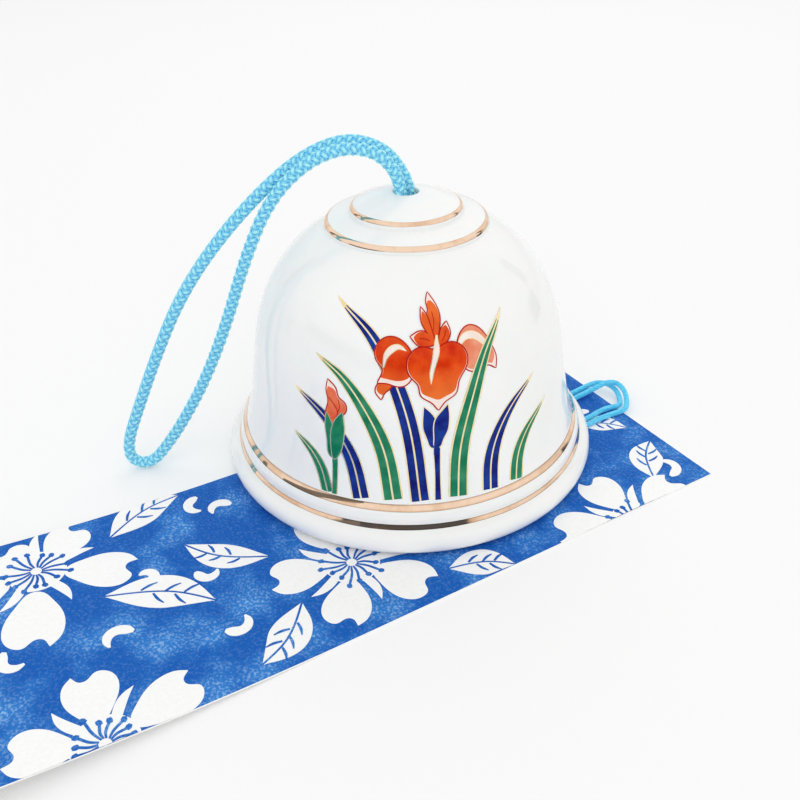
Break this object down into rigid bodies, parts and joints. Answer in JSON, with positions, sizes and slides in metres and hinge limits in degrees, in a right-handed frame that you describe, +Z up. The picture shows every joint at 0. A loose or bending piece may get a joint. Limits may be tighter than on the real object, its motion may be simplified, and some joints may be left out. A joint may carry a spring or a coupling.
{
  "type": "wind bell",
  "caption": "Small porcelain furin wind bell with a stepped crown and rolled lip, a clapper on a thin cord, a braided hanging loop and a paper strip that it stands on.",
  "frame": {"origin": "on the surface that the paper strip lies on, straight below the bell's axis", "axes": "+Z up along the bell's axis, -Y out of the bell's painted front, +X to the right of that front"},
  "size_m": [0.1902, 0.1514, 0.0693],
  "materials": {
    "porcelain": "glossy white glaze with fired gold lines and painted irises",
    "clapper_porcelain": "plain white glaze",
    "braided_cord": "sky-blue round braid with a soft sheen",
    "thin_cord": "smooth glossy cyan rayon cord",
    "strip_paper": "blue print with white blossoms on card"
  },
  "bodies": {
    "bell": {"bell_shell": "porcelain", "hanging_loop": "braided_cord", "hanging_knot": "braided_cord"},
    "hanger": {"cord_hitch": "thin_cord", "cord_riser": "thin_cord"},
    "clapper": {"clapper_cord": "thin_cord", "clapper": "clapper_porcelain", "clapper_knot": "thin_cord"},
    "strip": {"strip_cord": "thin_cord", "strip_knot": "thin_cord", "paper_strip": "strip_paper"}
  },
  "joints": [
    {"name": "cord_twist", "type": "hinge", "parent": "bell", "child": "hanger", "pos_m": [0, 0, 0.0445], "axis": [0, 0, 1], "continuous": true},
    {"name": "clapper_swing", "type": "hinge", "parent": "hanger", "child": "clapper", "pos_m": [0, 0, 0.0428], "axis": [1, 0, 0], "range_deg": [-45, 45]},
    {"name": "strip_turn", "type": "hinge", "parent": "bell", "child": "strip", "pos_m": [0, 0, 0], "axis": [0, 0, 1], "range_deg": [-8, 35]}
  ]
}
